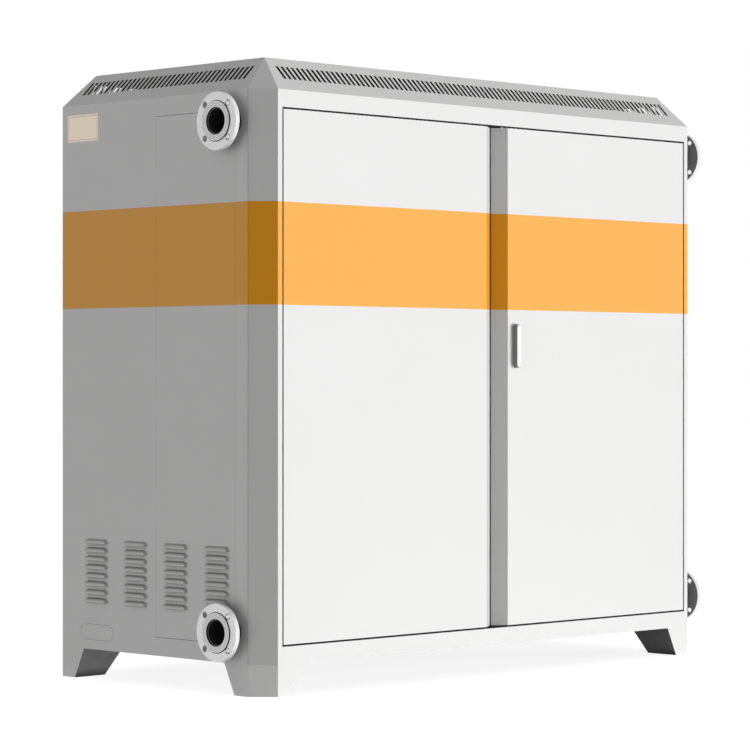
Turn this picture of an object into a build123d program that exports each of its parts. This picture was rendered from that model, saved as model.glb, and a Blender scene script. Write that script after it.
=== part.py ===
"""Industrial boiler: a hollow white sheet-metal cabinet on four tapered box feet.

It has two flush front doors that meet in a V groove, louvred sides, flanged pipe stubs
and a slotted hip roof. Millimetres, +Z up, front towards -Y, floor at Z zero.
"""

import os
from math import cos, radians, sin, sqrt

from build123d import *

# Cabinet body
body_width = 2290.0
body_depth = 1114.0
leg_height = 106.0
eave_height = 2022.0
corner_chamfer = 70.0
sheet = 2.0
base_thickness = 3.0
seam = 0.5
overrun = 6.0

# Hollow box feet: flush with the walls outside, with inner sides that slope in towards the floor
foot_thickness = 4.0
foot_arm_top = 118.0
foot_arm_ground = 68.0

# Corner posts and front frame
front_strip = 20.0
front_post_return = 65.0
corner_seam_width = 1.6
corner_seam_depth = 1.2
rear_post_return = 20.0
jamb_depth = 30.0
rail_height = 59.0
rail_flange = 45.0

# Sides: a removable service panel in front of one fixed wall sheet
panel_seam_share = 0.4795
panel_seam_from_base = 64.0
panel_seam_from_eave = 65.0
panel_end_seam = 1.4

# Pressed louvres, open at their lower edge, with faceted round ends
louvre_length = 126.0
louvre_height = 16.0
louvre_depth = 12.0
louvre_taper_deg = 24.0
louvre_end_facets = 2
louvre_cavity_facets = 1
louvre_column_pitch_share = 0.2156
louvre_column_shift = 3.0
louvre_row_pitch = 29.5
louvre_rows = 8
louvre_from_base = 166.5

# Flanged headers that run from side to side
pipe_radius = 44.5
pipe_bore_radius = 40.5
pipe_setback = 6.0
pipe_behind_chamfer = 78.0
pipe_from_wall_end = 107.0
pipe_hole_clearance = 0.5
flange_radius = 97.5
flange_face_radius = 67.5
flange_face_thickness = 3.0
flange_thickness = 17.0
flange_stand_off = 76.0
flange_bore_clearance = 0.15
bolt_circle_radius = 80.0
bolt_hole_radius = 9.0

# Doors, folded as open pans, with a V groove where they meet
door_gap = 6.5
door_depth = 44.0
meeting_gap = 7.0
groove_half_width = 55.5
groove_depth = 34.0
pivot_from_edge = 20.0
pivot_from_face = 8.0
pivot_radius = 4.0
pivot_reach = 14.0
pivot_clearance = 0.25

# Bar handle on the right-hand door
handle_length = 159.0
handle_width = 27.0
handle_base_thickness = 9.0
handle_lever_thickness = 8.0
handle_lever_inset = 1.5
handle_lever_bevel = 2.0
handle_from_centre = 98.5
handle_height = 1174.0

# Nameplate and cable knock-out, on the left side only
plate_length = 165.0
plate_height = 94.0
plate_thickness = 2.5
plate_from_rear_chamfer = 115.5
plate_below_eave = 81.5
knockout_length = 176.0
knockout_height = 56.0
knockout_from_rear_chamfer = 190.0
knockout_from_base = 61.0
knockout_clearance = 0.9

# Hip roof with rows of vent slots that run up each slope
roof_rise = 116.0
roof_inset = 116.0
slot_width = 11.8
slot_length = 65.0
slot_pitch = 23.3
slot_centre_inset = 63.0
slot_end_margin = 15.0

# Planes that the pieces share, measured from the middle of the cabinet
left_x = -body_width / 2
front_y = -body_depth / 2
flat_front_x = left_x + corner_chamfer
flat_side_y = front_y + corner_chamfer
inner_left_x = left_x + sheet
inner_front_y = front_y + sheet
frame_edge_x = flat_front_x + front_strip
rail_top_edge = eave_height - rail_height
rail_bottom_edge = leg_height + rail_height
door_top = rail_top_edge - door_gap
door_bottom = rail_bottom_edge + door_gap
side_flat_depth = -2 * flat_side_y
panel_seam_setback = panel_seam_share * side_flat_depth
panel_seam_low = leg_height + panel_seam_from_base
panel_seam_high = eave_height - panel_seam_from_eave
seam_front_y = flat_side_y + front_post_return
seam_rear_y = flat_side_y + panel_seam_setback
half_seam = seam / 2
half_end_seam = panel_end_seam / 2
pipe_y = flat_side_y + pipe_behind_chamfer
pipe_heights = (leg_height + pipe_from_wall_end, eave_height - pipe_from_wall_end)
mitre_share = sqrt(2) - 1
quarter_turn_deg = 90
SIDES = (-1, 1)

nodes = {}


def block(x_span, y_span, z_span):
    """Box between low and high limits on each axis."""
    spans = (x_span, y_span, z_span)
    sizes = [high - low for low, high in spans]
    centres = [(low + high) / 2 for low, high in spans]
    return Pos(*centres) * Box(*sizes)


def sheet_of(points, amount, direction):
    """Flat outline pulled along a direction."""
    return extrude(make_face(Polyline(*points, close=True)), amount=amount, dir=direction)


def upright(plan, low, high):
    """Solid that stands over a closed plan outline."""
    return sheet_of([(x, y, low) for x, y in plan], high - low, (0, 0, 1))


def bar_along_x(radius, x_span, y, z):
    """Round bar from side to side."""
    low, high = x_span
    turn = Rot(0, quarter_turn_deg, 0)
    return Pos((low + high) / 2, y, z) * turn * Cylinder(radius, high - low)


def corner_plan(thickness, front_arm, side_arm):
    """Plan of a plate bent round the front left corner, flush with the walls."""
    mitre = mitre_share * thickness
    return [
        (flat_front_x + front_arm, front_y),
        (flat_front_x, front_y),
        (left_x, flat_side_y),
        (left_x, flat_side_y + side_arm),
        (left_x + thickness, flat_side_y + side_arm),
        (left_x + thickness, flat_side_y + mitre),
        (flat_front_x + mitre, front_y + thickness),
        (flat_front_x + front_arm, front_y + thickness),
    ]


def on_left_wall(behind_chamfer, height):
    """Place on the outside of the left wall, with its Z outwards and its Y up."""
    origin = (left_x, flat_side_y + behind_chamfer, height)
    return Plane(origin=origin, x_dir=(0, -1, 0), z_dir=(-1, 0, 0)).location


def store_pair(name, left_piece):
    """Keep a left-hand piece and its mirror image on the right."""
    nodes[f"{name}_left"] = left_piece
    nodes[f"{name}_right"] = mirror(left_piece, about=Plane.YZ)


# Floor of the cabinet, let in between the walls
mitre = mitre_share * sheet
base_corner = [(flat_front_x + mitre, inner_front_y), (inner_left_x, flat_side_y + mitre)]
base_left = base_corner + [(x, -y) for x, y in reversed(base_corner)]
base_plan = base_left + [(-x, y) for x, y in reversed(base_left)]
nodes["base_plate"] = upright(base_plan, leg_height, leg_height + base_thickness)


def foot_block(inset, low):
    """Solid foot at the front left corner, drawn in from its outside and from the floor."""
    mitre = mitre_share * inset
    end_x = flat_front_x + foot_arm_top - inset
    end_y = flat_side_y + foot_arm_top - inset
    plan = [
        (end_x, front_y + inset),
        (flat_front_x + mitre, front_y + inset),
        (left_x + inset, flat_side_y + mitre),
        (left_x + inset, end_y),
        (end_x, end_y),
    ]
    taper = [(0, leg_height), (0, 0), (foot_arm_ground - foot_arm_top, 0)]
    taper_cut = corner_chamfer + foot_arm_top + overrun
    x_taper = [(end_x + along, front_y, z) for along, z in taper]
    y_taper = [(left_x, end_y + along, z) for along, z in taper]
    foot = upright(plan, low, leg_height) - sheet_of(x_taper, taper_cut, (0, 1, 0))
    return foot - sheet_of(y_taper, taper_cut, (1, 0, 0))


# Feet: one box at each corner, open at the top under the base and closed by a sole
foot = foot_block(0, 0) - foot_block(foot_thickness, foot_thickness)
store_pair("foot_front", foot)
store_pair("foot_rear", mirror(foot, about=Plane.XZ))

# Holes that let both headers through the sheets of the left side
hole_span = (left_x - overrun, inner_left_x + overrun)
hole_radius = pipe_radius + pipe_hole_clearance
pipe_holes = [bar_along_x(hole_radius, hole_span, pipe_y, z) for z in pipe_heights]

# Corner posts: the front pair has a shallow seam behind its chamfer and carries the door jambs
front_post_plan = corner_plan(sheet, front_strip, front_post_return - half_seam)
front_post = upright(front_post_plan, leg_height, eave_height)
front_post -= block(
    (left_x - overrun, left_x + corner_seam_depth),
    (flat_side_y, flat_side_y + corner_seam_width),
    (leg_height, eave_height),
)
front_post += block(
    (frame_edge_x - sheet, frame_edge_x),
    (inner_front_y, front_y + jamb_depth),
    (leg_height + base_thickness, eave_height),
)
store_pair("post_front", front_post - pipe_holes)
rear_post = upright(corner_plan(sheet, front_strip, rear_post_return), leg_height, eave_height)
store_pair("post_rear", mirror(rear_post, about=Plane.XZ))

# Front rails above and below the doors, folded inwards
rail_x = (frame_edge_x, -frame_edge_x)
rail_face_y = (front_y, inner_front_y)
rail_flange_y = (front_y, front_y + rail_flange)
top_rail = block(rail_x, rail_face_y, (rail_top_edge, eave_height))
top_rail += block(rail_x, rail_flange_y, (rail_top_edge, rail_top_edge + sheet))
top_rail += block(rail_x, rail_flange_y, (eave_height - sheet, eave_height))
bottom_rail = block(rail_x, rail_face_y, (leg_height, rail_bottom_edge))
bottom_rail += block(rail_x, rail_flange_y, (rail_bottom_edge - sheet, rail_bottom_edge))
nodes["front_top_rail"] = top_rail
nodes["front_bottom_rail"] = bottom_rail

# Side rails above and below each service panel
wall_x = (left_x, inner_left_x)
side_rail_y = (seam_front_y - half_seam, seam_rear_y + half_seam)
low_rail = block(wall_x, side_rail_y, (leg_height, panel_seam_low - half_end_seam))
high_rail = block(wall_x, side_rail_y, (panel_seam_high + half_end_seam, eave_height))
store_pair("side_bottom_rail", low_rail - pipe_holes)
store_pair("side_top_rail", high_rail - pipe_holes)


def louvre_face(length, height, end_facets):
    """Long outline with faceted round ends, twice as high as the louvre."""
    facet_deg = quarter_turn_deg / end_facets
    angles = [radians(n * facet_deg) for n in range(-end_facets, end_facets + 1)]
    reach = length / 2 - height
    right = [(reach + height * cos(angle), height * sin(angle)) for angle in angles]
    left = [(-x, y) for x, y in reversed(right)]
    return make_face(Polyline(*right, *left, close=True))


# One pressed louvre: a hood with tapered shoulders, cut off along its open mouth
hood_face = louvre_face(louvre_length, louvre_height, louvre_end_facets)
hood_cavity = louvre_face(louvre_length - 2 * sheet, louvre_height - sheet, louvre_cavity_facets)
hood = extrude(hood_face, amount=louvre_depth, taper=louvre_taper_deg)
hood -= extrude(hood_cavity, amount=louvre_depth - sheet, taper=louvre_taper_deg)
above_mouth = block(
    (-louvre_length, louvre_length),
    (0, louvre_height + overrun),
    (-sheet - overrun, louvre_depth + overrun),
)
hood = hood & above_mouth
hood_opening = extrude(hood_cavity, amount=-sheet - overrun) & above_mouth


def louvred(wall, columns):
    """Left-hand wall sheet with a bank of louvres centred on each column."""
    lowest = leg_height + louvre_from_base
    heights = [lowest + row * louvre_row_pitch for row in range(louvre_rows)]
    places = [on_left_wall(column, height) for column in columns for height in heights]
    opened = wall - [place * hood_opening for place in places]
    return opened + [place * hood for place in places]


# Service panels: the pipe holes take off their front corners
louvre_column_pitch = louvre_column_pitch_share * side_flat_depth
column_offsets = (louvre_column_pitch / 2, louvre_column_pitch * 3 / 2)
panel = block(
    wall_x,
    (seam_front_y + half_seam, seam_rear_y - half_seam),
    (panel_seam_low + half_end_seam, panel_seam_high - half_end_seam),
)
panel = (panel - pipe_holes).solids().sort_by(SortBy.VOLUME)[-1]
bank_middle = panel_seam_setback + louvre_column_shift
panel_columns = [bank_middle - offset for offset in column_offsets]
store_pair("service_panel", louvred(panel, panel_columns))

# Fixed side walls, of which the left one has a flush cable knock-out
wall = block(
    wall_x,
    (seam_rear_y + half_seam, -flat_side_y - rear_post_return),
    (leg_height, eave_height),
)
wall = louvred(wall, [bank_middle + offset for offset in column_offsets])
store_pair("side_wall", wall)
knockout_place = on_left_wall(
    side_flat_depth - knockout_from_rear_chamfer, leg_height + knockout_from_base
)
knockout_trim = 2 * knockout_clearance
knockout_hole = extrude(SlotOverall(knockout_length, knockout_height), amount=overrun, both=True)
knockout_face = SlotOverall(knockout_length - knockout_trim, knockout_height - knockout_trim)
nodes["side_wall_left"] = wall - knockout_place * knockout_hole
nodes["cable_knockout"] = knockout_place * extrude(knockout_face, amount=-sheet)

# Nameplate, fixed to the outside of the left wall
plate_place = on_left_wall(
    side_flat_depth - plate_from_rear_chamfer, eave_height - plate_below_eave
)
nodes["nameplate"] = plate_place * extrude(
    Rectangle(plate_length, plate_height), amount=plate_thickness
)

# Plain rear panel between the rear posts
nodes["rear_panel"] = block(rail_x, (-inner_front_y, -front_y), (leg_height, eave_height))

# Headers, and the slip-on flanges on their ends
flange_face_x = left_x - flange_stand_off
flange_disc_x = flange_face_x + flange_face_thickness
flange_back_x = flange_disc_x + flange_thickness
flange_cut = (flange_face_x - overrun, flange_back_x + overrun)
header_x = (flange_face_x + pipe_setback, -flange_face_x - pipe_setback)
bolt_offset = bolt_circle_radius / sqrt(2)
flanges = []
for level, height in zip(("lower", "upper"), pipe_heights):
    header = bar_along_x(pipe_radius, header_x, pipe_y, height)
    nodes[f"{level}_header"] = header - bar_along_x(pipe_bore_radius, header_x, pipe_y, height)
    flange = bar_along_x(flange_face_radius, (flange_face_x, flange_disc_x), pipe_y, height)
    flange += bar_along_x(flange_radius, (flange_disc_x, flange_back_x), pipe_y, height)
    flange -= bar_along_x(pipe_radius + flange_bore_clearance, flange_cut, pipe_y, height)
    for along in SIDES:
        for rise in SIDES:
            bolt_y = pipe_y + along * bolt_offset
            bolt_z = height + rise * bolt_offset
            flange -= bar_along_x(bolt_hole_radius, flange_cut, bolt_y, bolt_z)
    flanges.append(flange.solid())
store_pair("flanges", Compound(flanges))

# Doors: front sheet, groove flank and edge returns in one fold, closed by end flanges
hinge_edge_x = frame_edge_x + door_gap
groove_x = -groove_half_width
meeting_x = -meeting_gap / 2
door_back_y = front_y + door_depth
flank_run = meeting_x - groove_x
flank_slope = groove_depth / flank_run
flank_length = sqrt(flank_run**2 + groove_depth**2)
inner_groove_x = groove_x - sheet * (flank_length - flank_run) / groove_depth
inner_meeting_x = meeting_x - sheet
inner_flank_depth = (inner_meeting_x - inner_groove_x) * flank_slope
door_outline = [
    (hinge_edge_x, door_back_y),
    (hinge_edge_x, front_y),
    (groove_x, front_y),
    (meeting_x, front_y + groove_depth),
    (meeting_x, door_back_y),
]
door_inside = [
    (inner_meeting_x, door_back_y),
    (inner_meeting_x, inner_front_y + inner_flank_depth),
    (inner_groove_x, inner_front_y),
    (hinge_edge_x + sheet, inner_front_y),
    (hinge_edge_x + sheet, door_back_y),
]
door = upright(door_outline + door_inside, door_bottom, door_top)
door += upright(door_outline, door_bottom, door_bottom + sheet)
door += upright(door_outline, door_top - sheet, door_top)
pivot_x = hinge_edge_x + pivot_from_edge
pivot_y = front_y + pivot_from_face


def pivot_bar(radius, low, high):
    """Round bar on the left door's pivot line."""
    return Pos(pivot_x, pivot_y, (low + high) / 2) * Cylinder(radius, high - low)


door -= pivot_bar(pivot_radius + pivot_clearance, rail_bottom_edge, rail_top_edge)
nodes["left_door"] = door
nodes["right_door"] = mirror(door, about=Plane.YZ)

# Door pivots: a pin under the top rail and one on the bottom rail
top_pin = pivot_bar(pivot_radius, rail_top_edge - pivot_reach, rail_top_edge)
bottom_pin = pivot_bar(pivot_radius, rail_bottom_edge, rail_bottom_edge + pivot_reach)
store_pair("door_pivots", Compound([top_pin.solid(), bottom_pin.solid()]))

# Handle: an oblong base on the right-hand door, with a bevelled lever bar on it
handle_place = Plane(
    origin=(handle_from_centre, front_y, handle_height), x_dir=(0, 0, 1), z_dir=(0, -1, 0)
).location
lever_trim = 2 * handle_lever_inset
lever_face = SlotOverall(handle_length - lever_trim, handle_width - lever_trim)
lever = extrude(lever_face, amount=handle_lever_thickness)
lever = chamfer(lever.faces().sort_by(Axis.Z)[-1].edges(), handle_lever_bevel)
handle = extrude(SlotOverall(handle_length, handle_width), amount=handle_base_thickness)
handle += Pos(0, 0, handle_base_thickness) * lever
nodes["right_door_handle"] = handle_place * handle

# Roof planes at the front left corner, measured from the middle of the eave
eave_front = Vector(flat_front_x, front_y, 0)
eave_side = Vector(left_x, flat_side_y, 0)
ridge_corner = Vector(left_x + roof_inset, front_y + roof_inset, roof_rise)
front_inward = Vector(0, roof_rise, -roof_inset).normalized()
side_inward = Vector(roof_rise, 0, -roof_inset).normalized()
facet_inward = (eave_side - eave_front).cross(ridge_corner - eave_front).normalized()
top_inward = Vector(0, 0, -1)
roof_place = Pos(0, 0, eave_height)


def kept(shape, point, inward):
    """The part of a shape that lies inside a plane."""
    return split(shape, bisect_by=Plane(origin=point, z_dir=inward), keep=Keep.TOP)


def roof_plate(point, inward, neighbours):
    """Roof sheet behind one outside plane, mitred where it meets its neighbours."""
    plate = block((left_x, -left_x), (front_y, -front_y), (0, roof_rise))
    plate = kept(plate, point, inward)
    plate = kept(plate, point + inward * sheet, -inward)
    for shared_point, other_inward in neighbours:
        plate = kept(plate, shared_point, other_inward - inward)
    return plate


def at_corners(x_sides, y_sides, *planes):
    """The same pairs of point and direction at other corners of the roof."""

    def turned(vector, x_side, y_side):
        return Vector(vector.X * x_side, vector.Y * y_side, vector.Z)

    return [
        (turned(point, x_side, y_side), turned(inward, x_side, y_side))
        for point, inward in planes
        for x_side in x_sides
        for y_side in y_sides
    ]


def slot_cutters(ridge_length, place):
    """One row of vent slots that run up a slope, as many as fit along its ridge."""
    row_room = ridge_length - 2 * slot_end_margin - slot_width
    count = int(row_room / slot_pitch) + 1
    first = -(count - 1) * slot_pitch / 2
    cutter = Box(slot_width, slot_length, sheet + overrun)
    return [place * Pos(first + n * slot_pitch, 0, 0) * cutter for n in range(count)]


# Slotted slopes
slot_rise = slot_centre_inset * roof_rise / roof_inset
front_slots = Plane(
    origin=(0, front_y + slot_centre_inset, slot_rise), x_dir=(1, 0, 0), z_dir=-front_inward
).location
side_slots = Plane(
    origin=(left_x + slot_centre_inset, 0, slot_rise), x_dir=(0, -1, 0), z_dir=-side_inward
).location
front_neighbours = [(ridge_corner, top_inward)]
front_neighbours += at_corners(SIDES, [1], (eave_front, facet_inward), (ridge_corner, side_inward))
front_slope = roof_plate(eave_front, front_inward, front_neighbours)
front_slope = roof_place * (front_slope - slot_cutters(-2 * ridge_corner.X, front_slots))
side_neighbours = [(ridge_corner, top_inward)]
side_neighbours += at_corners([1], SIDES, (eave_side, facet_inward), (ridge_corner, front_inward))
side_slope = roof_plate(eave_side, side_inward, side_neighbours)
side_slope = roof_place * (side_slope - slot_cutters(-2 * ridge_corner.Y, side_slots))
nodes["roof_slope_front"] = front_slope
nodes["roof_slope_rear"] = mirror(front_slope, about=Plane.XZ)
store_pair("roof_slope", side_slope)

# Corner facets and the flat top that they all run up to
facet_neighbours = [
    (eave_front, front_inward),
    (eave_side, side_inward),
    (ridge_corner, top_inward),
]
facet = roof_place * roof_plate(eave_front, facet_inward, facet_neighbours)
left_facets = [facet.solid(), mirror(facet, about=Plane.XZ).solid()]
right_facets = [mirror(one, about=Plane.YZ).solid() for one in left_facets]
nodes["roof_corner_facets"] = Compound(left_facets + right_facets)
top_neighbours = at_corners(
    SIDES,
    SIDES,
    (ridge_corner, front_inward),
    (ridge_corner, side_inward),
    (ridge_corner, facet_inward),
)
nodes["roof_top"] = roof_place * roof_plate(ridge_corner, top_inward, top_neighbours)

# The handle stands out in front, so the whole is set back to centre its box
set_back = (handle_base_thickness + handle_lever_thickness) / 2
os.makedirs("parts", exist_ok=True)
for name, shape in nodes.items():
    export_step(Pos(0, set_back, 0) * shape, f"parts/{name}.step")
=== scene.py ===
from math import cos, pi, radians, sin

import bmesh
import bpy
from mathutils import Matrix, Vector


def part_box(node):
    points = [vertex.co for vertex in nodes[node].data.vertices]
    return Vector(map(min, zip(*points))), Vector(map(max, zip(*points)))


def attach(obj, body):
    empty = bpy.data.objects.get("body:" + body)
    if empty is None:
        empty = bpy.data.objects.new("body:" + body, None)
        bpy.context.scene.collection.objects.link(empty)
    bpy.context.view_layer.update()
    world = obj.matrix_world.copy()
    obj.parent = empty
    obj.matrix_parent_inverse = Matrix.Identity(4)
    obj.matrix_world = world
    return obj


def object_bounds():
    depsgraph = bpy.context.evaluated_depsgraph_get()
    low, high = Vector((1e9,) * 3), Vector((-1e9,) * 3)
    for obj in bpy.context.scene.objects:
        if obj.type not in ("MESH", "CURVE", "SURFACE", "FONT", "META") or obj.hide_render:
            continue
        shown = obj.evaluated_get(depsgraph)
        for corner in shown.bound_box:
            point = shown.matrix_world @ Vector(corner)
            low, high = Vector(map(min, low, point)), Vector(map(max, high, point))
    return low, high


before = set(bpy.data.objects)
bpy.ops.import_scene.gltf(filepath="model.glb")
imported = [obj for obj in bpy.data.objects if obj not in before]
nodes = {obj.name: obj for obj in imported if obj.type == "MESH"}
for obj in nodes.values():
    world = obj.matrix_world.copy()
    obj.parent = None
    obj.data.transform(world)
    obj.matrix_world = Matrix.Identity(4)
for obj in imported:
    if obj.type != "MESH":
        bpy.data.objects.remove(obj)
cad_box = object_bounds()

# Base plate
# A steel sheet let in between the walls, welded to them along its edge.
# It has zinc on top, with the flower pattern that the bath leaves, and black underseal below.
zinc_pale = (0.60, 0.62, 0.63, 1)
zinc_dark = (0.44, 0.46, 0.47, 1)
zinc_metal_share = 0.75
zinc_roughness = 0.36
flower_roughness = 0.2
flowers_per_metre = 42.0
underseal_black = (0.03, 0.03, 0.031, 1)
underseal_roughness = 0.4
under_facing = 0.5
base_grain = {"per_metre": 90, "strength": 0.08, "depth": 0.0004}


class Flow:
    """An output socket of a node tree. Sums of flows and numbers add their Math nodes."""

    def __init__(self, socket):
        self.socket = socket

    def node(self, kind, settings=None, inputs=None, output=0):
        """Adds a node to this tree, sets it up, fills its sockets and gives one output."""
        tree = self.socket.id_data
        node = tree.nodes.new(kind)
        for name, value in (settings or {}).items():
            setattr(node, name, value)
        for name, value in (inputs or {}).items():
            if isinstance(value, Flow):
                tree.links.new(value.socket, node.inputs[name])
            else:
                node.inputs[name].default_value = value
        return Flow(node.outputs[output]) if node.outputs else None

    def math(self, operation, first, second=0.0):
        return self.node("ShaderNodeMath", {"operation": operation}, {0: first, 1: second})

    def __add__(self, other):
        return self.math("ADD", self, other)

    __radd__ = __add__

    def __sub__(self, other):
        return self.math("SUBTRACT", self, other)

    def __rsub__(self, other):
        return self.math("SUBTRACT", other, self)

    def __mul__(self, other):
        return self.math("MULTIPLY", self, other)

    __rmul__ = __mul__

    def __truediv__(self, other):
        return self.math("DIVIDE", self, other)

    def __pow__(self, other):
        return self.math("POWER", self, other)

    def __gt__(self, other):
        return self.math("GREATER_THAN", self, other)

    def __lt__(self, other):
        return self.math("LESS_THAN", self, other)

    def __abs__(self):
        return self.math("ABSOLUTE", self)

    def over(self, other):
        return self.math("MAXIMUM", self, other)

    def under(self, other):
        return self.math("MINIMUM", self, other)

    def fraction(self):
        return self.math("FRACT", self)


def new_finish(name):
    """A bare material, with the place and the facing of each point in the object's own frame."""
    material = bpy.data.materials.new(name)
    material.use_nodes = True
    tree = material.node_tree
    tree.nodes.clear()
    coordinates = tree.nodes.new("ShaderNodeTexCoord")
    return material, Flow(coordinates.outputs["Object"]), Flow(coordinates.outputs["Normal"])


def close_finish(flow, sockets):
    """Puts the shader on a finish."""
    shader = flow.node("ShaderNodeBsdfPrincipled", inputs=sockets)
    flow.node("ShaderNodeOutputMaterial", inputs={"Surface": shader})


def dress(material, names):
    """Gives parts of the frame their finish."""
    for name in names:
        for material_slot in nodes[name].material_slots:
            material_slot.material = material


def noise(place, per_metre, detail=2.0):
    inputs = {"Vector": place, "Scale": per_metre, "Detail": detail}
    return place.node("ShaderNodeTexNoise", inputs=inputs)


def mixed(mask, first, second):
    """One colour where the mask is 0 and another where it is 1."""
    colour_a, colour_b, colour_out = 6, 7, 2
    inputs = {"Factor": mask, colour_a: first, colour_b: second}
    return mask.node("ShaderNodeMix", {"data_type": "RGBA"}, inputs, colour_out)


def relief(height, strength, depth):
    inputs = {"Strength": strength, "Distance": depth, "Height": height}
    return height.node("ShaderNodeBump", inputs=inputs)


def grain(place, per_metre, strength, depth):
    """The fine unevenness of a surface."""
    return relief(noise(place, per_metre), strength, depth)


def part(vector, axis):
    """One of the three numbers of a vector."""
    return vector.node("ShaderNodeSeparateXYZ", inputs={0: vector}, output=axis)


def zinc_coat(place, normal):
    """Colour, roughness and metal share of zinc, with one shade to each flower."""
    inputs = {"Vector": place, "Scale": flowers_per_metre}
    flowers = place.node("ShaderNodeTexVoronoi", inputs=inputs, output="Color")
    shade = flowers.node("ShaderNodeSeparateColor", inputs={0: flowers})
    roughness = zinc_roughness + flower_roughness * shade
    return mixed(shade, zinc_dark, zinc_pale), roughness, zinc_metal_share


base_zinc, place, normal = new_finish("base_zinc")
colour, roughness, metal = zinc_coat(place, normal)
below = part(normal, "Z") < -under_facing
close_finish(place, {
    "Base Color": mixed(below, colour, underseal_black),
    "Roughness": roughness + underseal_roughness * below,
    "Metallic": metal * (1 - below),
    "Normal": grain(place, **base_grain),
})
dress(base_zinc, ["base_plate"])

# Feet
# Four hollow steel boxes, flush with the walls and tapered towards the floor.
# They are welded under the base and coated white outside; their inner sides are painted dark grey, as
# painted shade.
white_clean = (0.81, 0.81, 0.81, 1)
white_dull = (0.79, 0.79, 0.785, 1)
powder_clouds_per_metre = 2.2
powder_roughness = {"least": 0.42, "swing": 0.12, "per_metre": 35}
powder_grain = {"per_metre": 320, "strength": 0.12, "depth": 0.0004}
powder_specular = 0.25
powder_depth = 0.0002
primer_shade_grey = (0.105, 0.105, 0.107, 1)
primer_shade_worn = (0.15, 0.149, 0.147, 1)
primer_patches = {"per_metre": 24, "detail": 4.0}
primer_roughness = 0.7
# A painted contact shadow on what stands near the floor.
floor_contact_shade = (0.015, 0.015, 0.015, 1)
contact_shade_height = 0.03
corner_chamfer = 0.07
diagonal_share = 0.5 ** 0.5
body_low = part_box("foot_front_left")[0]
body_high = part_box("foot_rear_right")[1]
body_middle = (body_low + body_high) / 2
body_half = (body_high - body_low) / 2


def skin_height(place):
    """Height over the outer skin of the cabinet, which is below 0 inside."""
    across = abs(part(place, "X") - body_middle.x) - body_half.x
    along = abs(part(place, "Y") - body_middle.y) - body_half.y
    corner = (across + along + corner_chamfer) * diagonal_share
    return across.over(along).over(corner)


def over_skin(place, normal):
    """1 on the outer skin of the cabinet and on what stands out from it."""
    return skin_height(place) > -powder_depth


def patchy(place, least, swing, per_metre):
    """A roughness that changes in patches."""
    return least + swing * noise(place, per_metre)


def powder(dull, clean):
    """A coat of white powder, a little cloudy: its colour, roughness and metal share."""

    def coat(place, normal):
        clouds = noise(place, powder_clouds_per_metre)
        return mixed(clouds, dull, clean), patchy(place, **powder_roughness), 0.0

    return coat


powder_coat = powder(white_dull, white_clean)


def primer_and_shade(place, normal):
    """Dark grey primer and painted shade, darkest near the floor as a painted contact shadow: colour,
    roughness, metal share.
    """
    primer = mixed(noise(place, **primer_patches), primer_shade_grey, primer_shade_worn)
    contact_shade = 1 - part(place, "Z") / contact_shade_height
    return mixed(contact_shade, primer, floor_contact_shade), primer_roughness, 0.0


def between(mask, first, second):
    """One number where the mask is 0 and another where it is 1."""
    if first == second:
        return first
    return (1 - mask) * first + mask * second


def two_faced(name, coat, lining, outside):
    """A finish with one coat where the mask holds and another coat elsewhere."""
    material, place, normal = new_finish(name)
    mask = outside(place, normal)
    outer, outer_roughness, outer_metal = coat(place, normal)
    inner, inner_roughness, inner_metal = lining(place, normal)
    close_finish(place, {
        "Base Color": mixed(mask, inner, outer),
        "Roughness": between(mask, inner_roughness, outer_roughness),
        "Metallic": between(mask, inner_metal, outer_metal),
        "Specular IOR Level": powder_specular,
        "Normal": grain(place, **powder_grain),
    })
    return material


corners = [f"{end}_{side}" for end in ("front", "rear") for side in ("left", "right")]
# The inner sides of the feet carry painted shade, dark grey.
foot_skin = two_faced("foot_skin", powder_coat, primer_and_shade, over_skin)
dress(foot_skin, [f"foot_{corner}" for corner in corners])

# Frame, walls and service panels
# Folded 2 mm sheet, powder coated white outside, with one orange band all round, darker on the folds
# as painted shade.
# The frame is primed dark inside, and the walls are zinc coated there, with primed edges.
# Faces of the side sheets that do not look sideways, and the wall under each louvre lip, are darkened
# as painted shade.
orange_flat = (0.905, 0.45, 0.103, 1)
# The darker orange on the folds is painted shade.
orange_fold_shade = (0.825, 0.336, 0.0107, 1)
band_low = 1.304
band_high = 1.648
fold_facing = 0.2
# How far the white is darkened on the folds, as painted shade.
fold_shade_share = 0.177
primed_depth = 0.0016
louvre_rows = 8
louvre_pitch = 0.0295
louvre_height = 0.016
louvre_from_base = 0.1665
lowest_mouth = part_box("side_wall_left")[0].z + louvre_from_base
bank_low = lowest_mouth - louvre_pitch + louvre_height
bank_high = lowest_mouth + (louvre_rows - 1) * louvre_pitch + louvre_height
bank_middle = -0.0085
column_pitch = 0.21
# A grey that paints shade on the louvres and in their banks.
louvre_shade_grey = (0.43, 0.427, 0.42, 1)
shoulder_facing = 0.75
hood_rise = 0.001
unshaded_lip_share = 0.06
hood_shade = 2.6
wall_shade = 0.31
under_lip_share = 0.75
under_lip_shade = 2.1
shade_reach = 0.066
side_fade = 0.022
low_fade = 0.012


def banded_coat(place, normal):
    """White powder coat with the orange band. Both are darker on the folds, as painted shade."""
    white, roughness, metal = powder_coat(place, normal)
    height = part(place, "Z")
    fold = abs(part(normal, "X") * part(normal, "Y")) > fold_facing
    white = mixed(fold_shade_share * fold, white, primer_shade_grey)
    band = (height > band_low) * (height < band_high)
    return mixed(band, white, mixed(fold, orange_flat, orange_fold_shade)), roughness, metal


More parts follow.
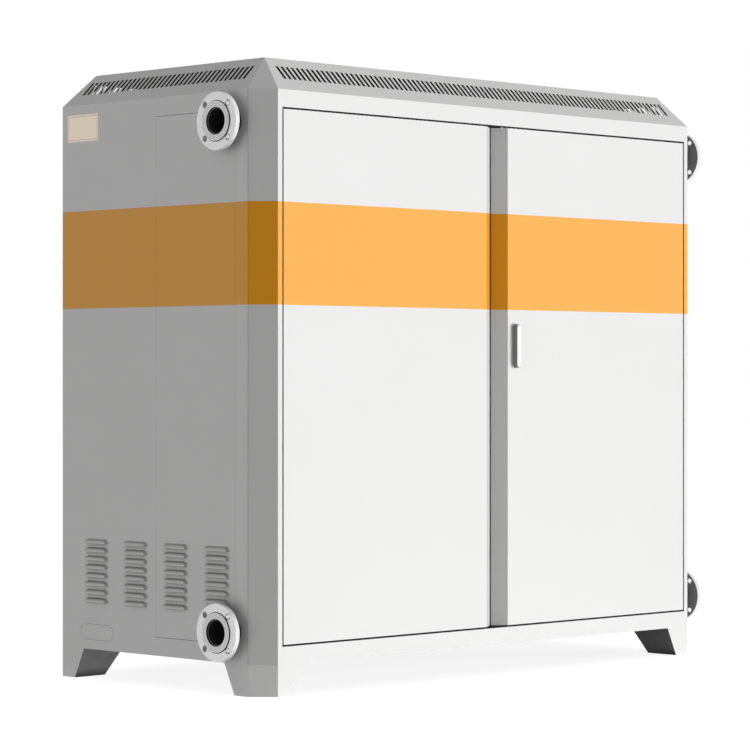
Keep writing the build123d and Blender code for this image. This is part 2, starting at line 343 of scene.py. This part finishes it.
def bank_shade(place):
    """Share of painted shade in the banks of louvres: none on the lips and most just under them."""
    height = part(place, "Z")
    aside = abs(abs(abs(part(place, "Y") - bank_middle) - column_pitch) - column_pitch / 2)
    across = ((shade_reach - aside) / side_fade).over(0).under(1)
    upward = ((height - bank_low) / low_fade).over(0).under(1)
    bank = across * upward * (height < bank_high)
    row_share = ((height - lowest_mouth) / louvre_pitch).fraction()
    on_hood = hood_shade * (row_share - unshaded_lip_share).over(0)
    on_wall = wall_shade + under_lip_shade * (row_share - under_lip_share).over(0)
    return bank * between(skin_height(place) > hood_rise, on_wall, on_hood)


def louvre_shaded_coat(place, normal):
    """The banded coat of a side wall, with painted shade on faces that do not look sideways and in the
    louvre banks.
    """
    colour, roughness, metal = banded_coat(place, normal)
    shoulder = abs(part(normal, "X")) < shoulder_facing
    return mixed(shoulder.over(bank_shade(place)), colour, louvre_shade_grey), roughness, metal


def sheet_lining(place, normal):
    """Zinc on the inner face of a sheet, and dark primer on its edges."""
    zinc, rough_zinc, bare_zinc = zinc_coat(place, normal)
    primer, rough_primer, bare_primer = primer_and_shade(place, normal)
    inside = skin_height(place) < -primed_depth
    roughness = between(inside, rough_primer, rough_zinc)
    return mixed(inside, primer, zinc), roughness, between(inside, bare_primer, bare_zinc)


frame_skin = two_faced("frame_skin", banded_coat, primer_and_shade, over_skin)
dress(frame_skin, [f"post_{corner}" for corner in corners])
dress(frame_skin, ["front_top_rail", "front_bottom_rail"])
dress(two_faced("rear_skin", banded_coat, sheet_lining, over_skin), ["rear_panel"])
wall_skin = two_faced("wall_skin", louvre_shaded_coat, sheet_lining, over_skin)
dress(wall_skin, ["cable_knockout"])
for sheet in ("side_bottom_rail", "side_top_rail", "service_panel", "side_wall"):
    dress(wall_skin, [f"{sheet}_left", f"{sheet}_right"])

# Roof
# Four slotted slopes, four corner facets and a flat top, mitred and welded from sheet.
# Facets and top are whiter, as painted light, slopes greyer, as painted shade, and the near-black
# compound inside paints shade in the slots.
# Greyer slopes are painted shade; whiter facets and top are painted light.
slope_shaded_dull = (0.70, 0.70, 0.695, 1)
slope_shaded_clean = (0.72, 0.72, 0.715, 1)
facet_lit_dull = (0.89, 0.89, 0.885, 1)
facet_lit_clean = (0.91, 0.91, 0.905, 1)
# The compound is near-black, partly as painted shade in the slots.
compound_shade_black = (0.005, 0.005, 0.0055, 1)
compound_shade_grey = (0.012, 0.012, 0.013, 1)
compound_specks_per_metre = 140
compound_roughness = 0.9
roof_facing = 0.5


def compound_and_shade(place, normal):
    """Colour, roughness and metal share of the sprayed compound, near-black partly as painted shade.
    """
    specks = noise(place, compound_specks_per_metre)
    return mixed(specks, compound_shade_black, compound_shade_grey), compound_roughness, 0.0


def facing_up(place, normal):
    """1 on the weather side of the roof."""
    return part(normal, "Z") > roof_facing


slope_shaded_powder = powder(slope_shaded_dull, slope_shaded_clean)
slope_skin = two_faced("roof_slope_skin", slope_shaded_powder, compound_and_shade, facing_up)
dress(slope_skin, [f"roof_slope_{side}" for side in ("front", "rear", "left", "right")])
facet_lit_powder = powder(facet_lit_dull, facet_lit_clean)
facet_skin = two_faced("roof_facet_skin", facet_lit_powder, compound_and_shade, facing_up)
dress(facet_skin, ["roof_corner_facets", "roof_top"])

# Nameplate
# A plain anodised plate, brushed along its length and bonded to the left wall.
# A fine line is engraved all round, just inside its edge.
plate_gold = (0.745, 0.645, 0.54, 1)
plate_dull = (0.70, 0.605, 0.505, 1)
plate_metal_share = 0.8
plate_roughness = 0.38
brush_roughness = 0.12
brush_per_metre = (1, 6, 900)
brush_detail = 4.0
engraved_dark = (0.30, 0.26, 0.22, 1)
engraved_inset = 0.006
engraved_width = 0.0014
engraved_relief = {"strength": 0.1, "depth": 0.0003}
plate_low, plate_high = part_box("nameplate")
plate_middle = (plate_low + plate_high) / 2
plate_half = (plate_high - plate_low) / 2

plate_metal, place, normal = new_finish("nameplate_brushed")
along = abs(part(place, "Y") - plate_middle.y) - plate_half.y
upward = abs(part(place, "Z") - plate_middle.z) - plate_half.z
line = abs(along.over(upward) + engraved_inset) < engraved_width / 2
inputs = {0: place, 1: brush_per_metre}
stretched = place.node("ShaderNodeVectorMath", {"operation": "MULTIPLY"}, inputs)
brushed = noise(stretched, per_metre=1.0, detail=brush_detail)
close_finish(place, {
    "Base Color": mixed(line, mixed(brushed, plate_dull, plate_gold), engraved_dark),
    "Roughness": plate_roughness + brush_roughness * brushed,
    "Metallic": plate_metal_share,
    "Normal": relief(brushed - line, **engraved_relief),
})
dress(plate_metal, ["nameplate"])

# Headers
# Two steel pipes that run from side to side, primed black outside.
# The cut ends are bare, and the bore is near-black with scale and painted shade.
pipe_black = (0.035, 0.035, 0.037, 1)
pipe_worn = (0.07, 0.068, 0.066, 1)
pipe_patches = {"per_metre": 60, "detail": 4.0}
pipe_roughness = {"least": 0.5, "swing": 0.3, "per_metre": 120}
pipe_grain = {"per_metre": 400, "strength": 0.15, "depth": 0.0004}
cut_steel = (0.30, 0.29, 0.28, 1)
cut_metal_share = 0.6
# Scale and painted shade inside the bore.
scale_and_shade_black = (0.006, 0.006, 0.006, 1)
side_facing = 0.5
header_wall = 0.004
header_boxes = {level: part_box(f"{level}_header") for level in ("lower", "upper")}
header_centres = {level: (low + high) / 2 for level, (low, high) in header_boxes.items()}
header_radius = (header_boxes["lower"][1].z - header_boxes["lower"][0].z) / 2
axis_middle = (header_centres["lower"] + header_centres["upper"]) / 2
axis_rise = header_centres["upper"].z - axis_middle.z


def axis_distance(place, bolt_offset=0):
    """Distance from the axis of the nearer header, or of its nearest bolt hole."""
    depth = abs(part(place, "Y") - axis_middle.y) - bolt_offset
    height = abs(abs(part(place, "Z") - axis_middle.z) - axis_rise) - bolt_offset
    return (depth * depth + height * height) ** 0.5


pipe_steel, place, normal = new_finish("header_steel")
bore = axis_distance(place) < header_radius - header_wall / 2
cut = abs(part(normal, "X")) > side_facing
outer = mixed(noise(place, **pipe_patches), pipe_black, pipe_worn)
close_finish(place, {
    "Base Color": mixed(bore, mixed(cut, outer, cut_steel), scale_and_shade_black),
    "Roughness": patchy(place, **pipe_roughness),
    "Metallic": cut * cut_metal_share,
    "Normal": grain(place, **pipe_grain),
})
dress(pipe_steel, ["lower_header", "upper_header"])

# Flanges
# Slip-on plate flanges, turned from steel, with a raised gasket face and four bolt holes.
# Rim and holes are pale and less metallic, a painted highlight; oil and painted shade darken grooves,
# step, hole rings and bore; painted shade greys the back.
flange_bright = (0.63, 0.63, 0.635, 1)
flange_dull = (0.55, 0.55, 0.555, 1)
flange_patches = {"per_metre": 55, "detail": 3.0}
flange_roughness = {"least": 0.27, "swing": 0.1, "per_metre": 150}
# A painted highlight on the rim and in the holes.
rim_highlight_pale = (0.80, 0.80, 0.80, 1)
rim_metal_loss = 0.7
# Oil and painted shade in the grooves, at the step, round the holes and in the bore.
oil_and_shade_dark = (0.045, 0.045, 0.045, 1)
# Painted shade on the back of each flange.
back_shade_grey = (0.115, 0.115, 0.117, 1)
back_shade_worn = (0.155, 0.153, 0.15, 1)
back_patches = {"per_metre": 60, "detail": 4.0}
back_roughness = 0.4
turning_pitch = 0.0011
turning_relief = {"strength": 0.06, "depth": 0.0002}
face_inner_radius = 0.0462
face_outer_radius = 0.0668
ridge_count = 4
ridge_pitch = (face_outer_radius - face_inner_radius) / ridge_count
half_ridge_share = 0.5
groove_share = 0.38
step_radius = 0.0682
step_width = 0.0024
bolt_circle_radius = 0.08
bolt_offset = bolt_circle_radius * diagonal_share
# A thin painted shadow ring round each bolt hole.
hole_shade_radius = 0.0101
hole_shade_width = 0.0018

flange_steel, place, normal = new_finish("flange_turned_steel")
radius = axis_distance(place)
marks = (radius / turning_pitch).fraction()
ridge_phase = ((radius - face_inner_radius) / ridge_pitch).fraction()
groove = (radius < face_outer_radius) * (abs(ridge_phase - half_ridge_share) > groove_share)
step = abs(radius - step_radius) < step_width / 2
hole_shade = abs(axis_distance(place, bolt_offset) - hole_shade_radius) < hole_shade_width / 2
oil_and_shade = groove.over(step).over(hole_shade).over(radius < face_inner_radius)
rim_and_holes = abs(part(normal, "X")) < side_facing
back = part(place, "X") * part(normal, "X") < -side_facing
bare = mixed(noise(place, **flange_patches), flange_dull, flange_bright)
front = mixed(oil_and_shade, mixed(rim_and_holes, bare, rim_highlight_pale), oil_and_shade_dark)
back_shade = mixed(noise(place, **back_patches), back_shade_grey, back_shade_worn)
close_finish(place, {
    "Base Color": mixed(back, front, back_shade),
    "Roughness": patchy(place, **flange_roughness) + back_roughness * back,
    "Metallic": 1 - back - rim_metal_loss * rim_and_holes,
    "Normal": relief(marks, **turning_relief),
})
dress(flange_steel, ["flanges_left", "flanges_right"])

# Gasket faces
# The raised face of each flange carries concentric ridges that bite into the gasket.
# They are turned on the flange itself, so they have the same bare steel.
ridge_height = 0.0007
ridge_root = 0.0001
ridge_steps = 128
flange_front = cad_box[1][0]
sides = {"left": -1, "right": 1}


def add_piece(name, mesh):
    """Turns a built mesh into an object with its faces outwards."""
    bmesh.ops.recalc_face_normals(mesh, faces=mesh.faces)
    data = bpy.data.meshes.new(name)
    mesh.to_mesh(data)
    mesh.free()
    piece = bpy.data.objects.new(name, data)
    bpy.context.scene.collection.objects.link(piece)
    return piece


def closed_loops(mesh, loops):
    """Faces between closed loops of equal length, of which the last meets the first again."""
    for loop, following in zip(loops, loops[1:] + loops[:1]):
        for step in range(len(loop)):
            onward = (step + 1) % len(loop)
            mesh.faces.new((loop[step], loop[onward], following[onward], following[step]))


def lathe(name, profiles, centre, outward):
    """A ring round the X axis, with a closed profile of radius and outward height at each turn."""
    mesh = bmesh.new()
    loops = []
    for step, profile in enumerate(profiles):
        turn = 2 * pi * step / len(profiles)
        loops.append([
            mesh.verts.new((
                centre.x + outward * height,
                centre.y + radius * cos(turn),
                centre.z + radius * sin(turn),
            ))
            for radius, height in profile
        ])
    closed_loops(mesh, loops)
    return add_piece(name, mesh)


ridge_profile = [(face_inner_radius, -ridge_root)]
for ridge in range(ridge_count):
    start = face_inner_radius + ridge * ridge_pitch
    ridge_profile += [(start, 0), (start + ridge_pitch / 2, ridge_height)]
ridge_profile += [(face_outer_radius, 0), (face_outer_radius, -ridge_root)]
for level, header_centre in header_centres.items():
    for side, outward in sides.items():
        centre = header_centre.copy()
        centre.x = outward * flange_front
        face = lathe(f"gasket_face_{level}_{side}", [ridge_profile] * ridge_steps, centre, outward)
        face.data.materials.append(flange_steel)
        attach(face, "cabinet")

# Weld beads
# One fillet weld behind each flange joins it to the pipe, laid in short overlapping ripples.
# It is primed black with the pipe.
bead_leg = 0.006
bead_crown_share = 0.68
bead_root = 0.0002
ripple_count = 46
ripple_steps = 6
ripple_swell_share = 0.14
bead_patches = {"per_metre": 90, "detail": 4.0}
bead_roughness = {"least": 0.45, "swing": 0.3, "per_metre": 160}
bead_grain = {"per_metre": 500, "strength": 0.2, "depth": 0.0004}
flange_back = -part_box("flanges_left")[1].x


def bead_profile(swell):
    """Section of the bead, from the pipe round to the flange."""
    leg = bead_leg * (1 + swell)
    return [
        (header_radius - bead_root, -bead_root),
        (header_radius - bead_root, leg),
        (header_radius + leg * (1 - bead_crown_share), leg * bead_crown_share),
        (header_radius + leg * bead_crown_share, leg * (1 - bead_crown_share)),
        (header_radius + leg, -bead_root),
    ]


bead_profiles = []
for step in range(ripple_count * ripple_steps):
    rise = (step % ripple_steps) / ripple_steps
    bead_profiles.append(bead_profile(ripple_swell_share * rise))
weld_steel, place, normal = new_finish("weld_bead_steel")
close_finish(place, {
    "Base Color": mixed(noise(place, **bead_patches), pipe_black, pipe_worn),
    "Roughness": patchy(place, **bead_roughness),
    "Normal": grain(place, **bead_grain),
})
for level, header_centre in header_centres.items():
    for side, outward in sides.items():
        centre = header_centre.copy()
        centre.x = outward * flange_back
        bead = lathe(f"weld_bead_{level}_{side}", bead_profiles, centre, -outward)
        bead.data.materials.append(weld_steel)
        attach(bead, "cabinet")

# Door seal
# A black rubber strip with a rounded bulb, stuck round the inside of the door opening.
# Its four lengths are mitred and joined at the corners.
rubber_black = (0.014, 0.014, 0.015, 1)
rubber_bloom = (0.03, 0.03, 0.031, 1)
bloom_patches = {"per_metre": 30, "detail": 4.0}
rubber_roughness = {"least": 0.62, "swing": 0.2, "per_metre": 70}
rubber_grain = {"per_metre": 600, "strength": 0.2, "depth": 0.0003}
seal_from_front = 0.014
seal_width = 0.010
seal_foot = 0.001
seal_height = 0.0035
seal_sink = 0.0003
bulb_steps = 10
opening_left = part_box("post_front_left")[1].x
opening_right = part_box("post_front_right")[0].x
opening_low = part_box("front_bottom_rail")[1].z
opening_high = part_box("front_top_rail")[0].z
seal_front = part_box("front_top_rail")[0].y + seal_from_front

seal_profile = [(0, -seal_sink), (0, seal_foot)]
for step in range(1, bulb_steps):
    turn = pi * step / bulb_steps
    rise = (seal_height - seal_foot) * sin(turn)
    seal_profile.append((seal_width * (1 - cos(turn)) / 2, seal_foot + rise))
seal_profile += [(seal_width, seal_foot), (seal_width, -seal_sink)]
mesh = bmesh.new()
loops = []
for left, upper in ((True, False), (True, True), (False, True), (False, False)):
    loop = []
    for back, inset in seal_profile:
        x = opening_left + inset if left else opening_right - inset
        z = opening_high - inset if upper else opening_low + inset
        loop.append(mesh.verts.new((x, seal_front + back, z)))
    loops.append(loop)
closed_loops(mesh, loops)
seal = add_piece("door_seal", mesh)
rubber, place, normal = new_finish("door_seal_rubber")
close_finish(place, {
    "Base Color": mixed(noise(place, **bloom_patches), rubber_black, rubber_bloom),
    "Roughness": patchy(place, **rubber_roughness),
    "Normal": grain(place, **rubber_grain),
})
seal.data.materials.append(rubber)
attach(seal, "cabinet")

# Doors
# Two folded pans that hang on pins at their outer edges and meet in a V groove, painted like
# the walls outside, with a thin coat of pale primer on the inside. The flanks of the groove are
# darkened as painted shade, most of all on the two edges that meet.
primer_dull = (0.58, 0.58, 0.575, 1)
primer_clean = (0.61, 0.61, 0.605, 1)
# Painted shade on the flanks of the groove and on the edges that meet.
groove_shade_black = (0.015, 0.014, 0.013, 1)
left_flank_shade = 0.285
right_flank_shade = 0.15
meeting_shade = 0.72
meeting_reach = 0.0045
edge_facing = 0.9


def groove_shaded_coat(place, normal):
    """The banded coat of a door, with painted shade on the flanks of the groove and on the meeting
    edge.
    """
    colour, roughness, metal = banded_coat(place, normal)
    across = part(normal, "X")
    flank = abs(across * part(normal, "Y")) > fold_facing
    meeting = (abs(across) > edge_facing) * (abs(part(place, "X")) < meeting_reach)
    groove_shade = flank * between(across > 0, right_flank_shade, left_flank_shade) + meeting_shade * meeting
    return mixed(groove_shade, colour, groove_shade_black), roughness, metal


def away_from(middle):
    """A mask that is 1 on the faces that look away from a point."""

    def mask(place, normal):
        inputs = {0: place, 1: middle}
        apart = place.node("ShaderNodeVectorMath", {"operation": "SUBTRACT"}, inputs)
        inputs = {0: apart, 1: normal}
        facing = place.node("ShaderNodeVectorMath", {"operation": "DOT_PRODUCT"}, inputs, "Value")
        return facing > 0

    return mask


pale_primer = powder(primer_dull, primer_clean)
for side in sides:
    low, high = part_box(f"{side}_door")
    outside = away_from((low + high) / 2)
    dress(two_faced(f"{side}_door_skin", groove_shaded_coat, pale_primer, outside), [f"{side}_door"])

# Door pivots
# Plain round pins between the rails and the ends of the doors, of blackened steel.
# The black is rubbed thin in patches.
pin_black = (0.022, 0.022, 0.024, 1)
pin_rubbed = (0.075, 0.073, 0.07, 1)
pin_metal_share = 0.6
pin_patches = {"per_metre": 220, "detail": 4.0}
pin_roughness = {"least": 0.4, "swing": 0.2, "per_metre": 300}
pin_grain = {"per_metre": 700, "strength": 0.1, "depth": 0.0002}

pin_steel, place, normal = new_finish("pivot_blackened")
close_finish(place, {
    "Base Color": mixed(noise(place, **pin_patches), pin_black, pin_rubbed),
    "Roughness": patchy(place, **pin_roughness),
    "Metallic": pin_metal_share,
    "Normal": grain(place, **pin_grain),
})
dress(pin_steel, ["door_pivots_left", "door_pivots_right"])

# Handle
# A die-cast base with a bevelled lever bar on it, fixed to the right-hand door from inside.
# Silver-white lacquer on the faces that look forward; all other faces are dark grey, as painted shade.
lacquer_bright = (0.93, 0.93, 0.93, 1)
lacquer_dull = (0.88, 0.88, 0.88, 1)
# Painted shade on every face that does not look forward.
side_shade_grey = (0.19, 0.19, 0.192, 1)
side_shade_worn = (0.22, 0.22, 0.22, 1)
handle_patches = {"per_metre": 45, "detail": 3.0}
handle_roughness = {"least": 0.3, "swing": 0.1, "per_metre": 160}
handle_grain = {"per_metre": 500, "strength": 0.08, "depth": 0.0003}
bar_facing = 0.9

lacquer, place, normal = new_finish("handle_lacquer")
wear = noise(place, **handle_patches)
bar_face = part(normal, "Y") < -bar_facing
side_shade = mixed(wear, side_shade_grey, side_shade_worn)
close_finish(place, {
    "Base Color": mixed(bar_face, side_shade, mixed(wear, lacquer_dull, lacquer_bright)),
    "Roughness": patchy(place, **handle_roughness),
    "Specular IOR Level": powder_specular,
    "Normal": grain(place, **handle_grain),
})
dress(lacquer, ["right_door_handle"])

# Floor, light and camera
# A plain pale floor, a wide, nearly level key lamp from the front right, weak ones from left and rear.
# The camera stands level at half height and looks along the diagonal at the corner.
floor_radius = 40.0
floor_sides = 64
floor_white = (0.8, 0.8, 0.8, 1)
floor_glow = 0.85
sky_white = (1, 1, 1, 1)
ambient = 0.22
lamps = {
    "key_lamp": {"power": 1.235 * pi, "turn_deg": 48, "height_deg": -6, "spread_deg": 34},
    "fill_lamp": {"power": 0.194 * pi, "turn_deg": -75, "height_deg": -4, "spread_deg": 40},
    "back_lamp": {"power": 0.35 * pi, "turn_deg": 180, "height_deg": 0, "spread_deg": 6},
}
level_deg = 90
sensor_width_mm = 36.0
focal_length_mm = 142.29
camera_place = (-7.811, -7.7405, 1.070)
camera_turn_deg = -45


def seen_ray(flow):
    """1 for rays that show the background, straight or in metal and glass."""
    kinds = ("Is Camera Ray", "Is Glossy Ray", "Is Transmission Ray")
    straight, glossy, through = [flow.node("ShaderNodeLightPath", output=kind) for kind in kinds]
    return straight.over(glossy).over(through)


mesh = bmesh.new()
bmesh.ops.create_circle(mesh, cap_ends=True, radius=floor_radius, segments=floor_sides)
floor = add_piece("floor", mesh)
floor.visible_shadow = False
floor_paint, place, normal = new_finish("floor_white")
bounce = place.node("ShaderNodeBsdfDiffuse", inputs={"Color": floor_white})
glow = place.node("ShaderNodeEmission", inputs={"Strength": floor_glow})
lit = place.node("ShaderNodeAddShader", inputs={0: bounce, 1: glow})
shown = place.node("ShaderNodeMixShader", inputs={0: seen_ray(place), 1: bounce, 2: lit})
place.node("ShaderNodeOutputMaterial", inputs={"Surface": shown})
floor.data.materials.append(floor_paint)

world = bpy.data.worlds.new("studio")
bpy.context.scene.world = world
world.use_nodes = True
world.node_tree.nodes.clear()
sky = Flow(world.node_tree.nodes.new("ShaderNodeBackground").outputs["Background"])
sky.socket.node.inputs["Color"].default_value = sky_white
strength = ambient + (1 - ambient) * seen_ray(sky)
world.node_tree.links.new(strength.socket, sky.socket.node.inputs["Strength"])
sky.node("ShaderNodeOutputWorld", inputs={"Surface": sky})


def add_sun(name, power, turn_deg, height_deg, spread_deg):
    """A far, wide lamp, turned from the front towards the right."""
    lamp = bpy.data.lights.new(name, "SUN")
    lamp.energy = power
    lamp.angle = radians(spread_deg)
    sun = bpy.data.objects.new(name, lamp)
    sun.rotation_euler = (radians(level_deg - height_deg), 0, radians(turn_deg))
    sun.visible_glossy = False
    bpy.context.scene.collection.objects.link(sun)


for name, setting in lamps.items():
    add_sun(name, **setting)

lens = bpy.data.cameras.new("camera")
lens.sensor_width = sensor_width_mm
lens.lens = focal_length_mm
camera = bpy.data.objects.new("camera", lens)
camera.location = camera_place
camera.rotation_euler = (radians(level_deg), 0, radians(camera_turn_deg))
bpy.context.scene.collection.objects.link(camera)
bpy.context.scene.camera = camera
bpy.context.scene.view_settings.view_transform = "Standard"
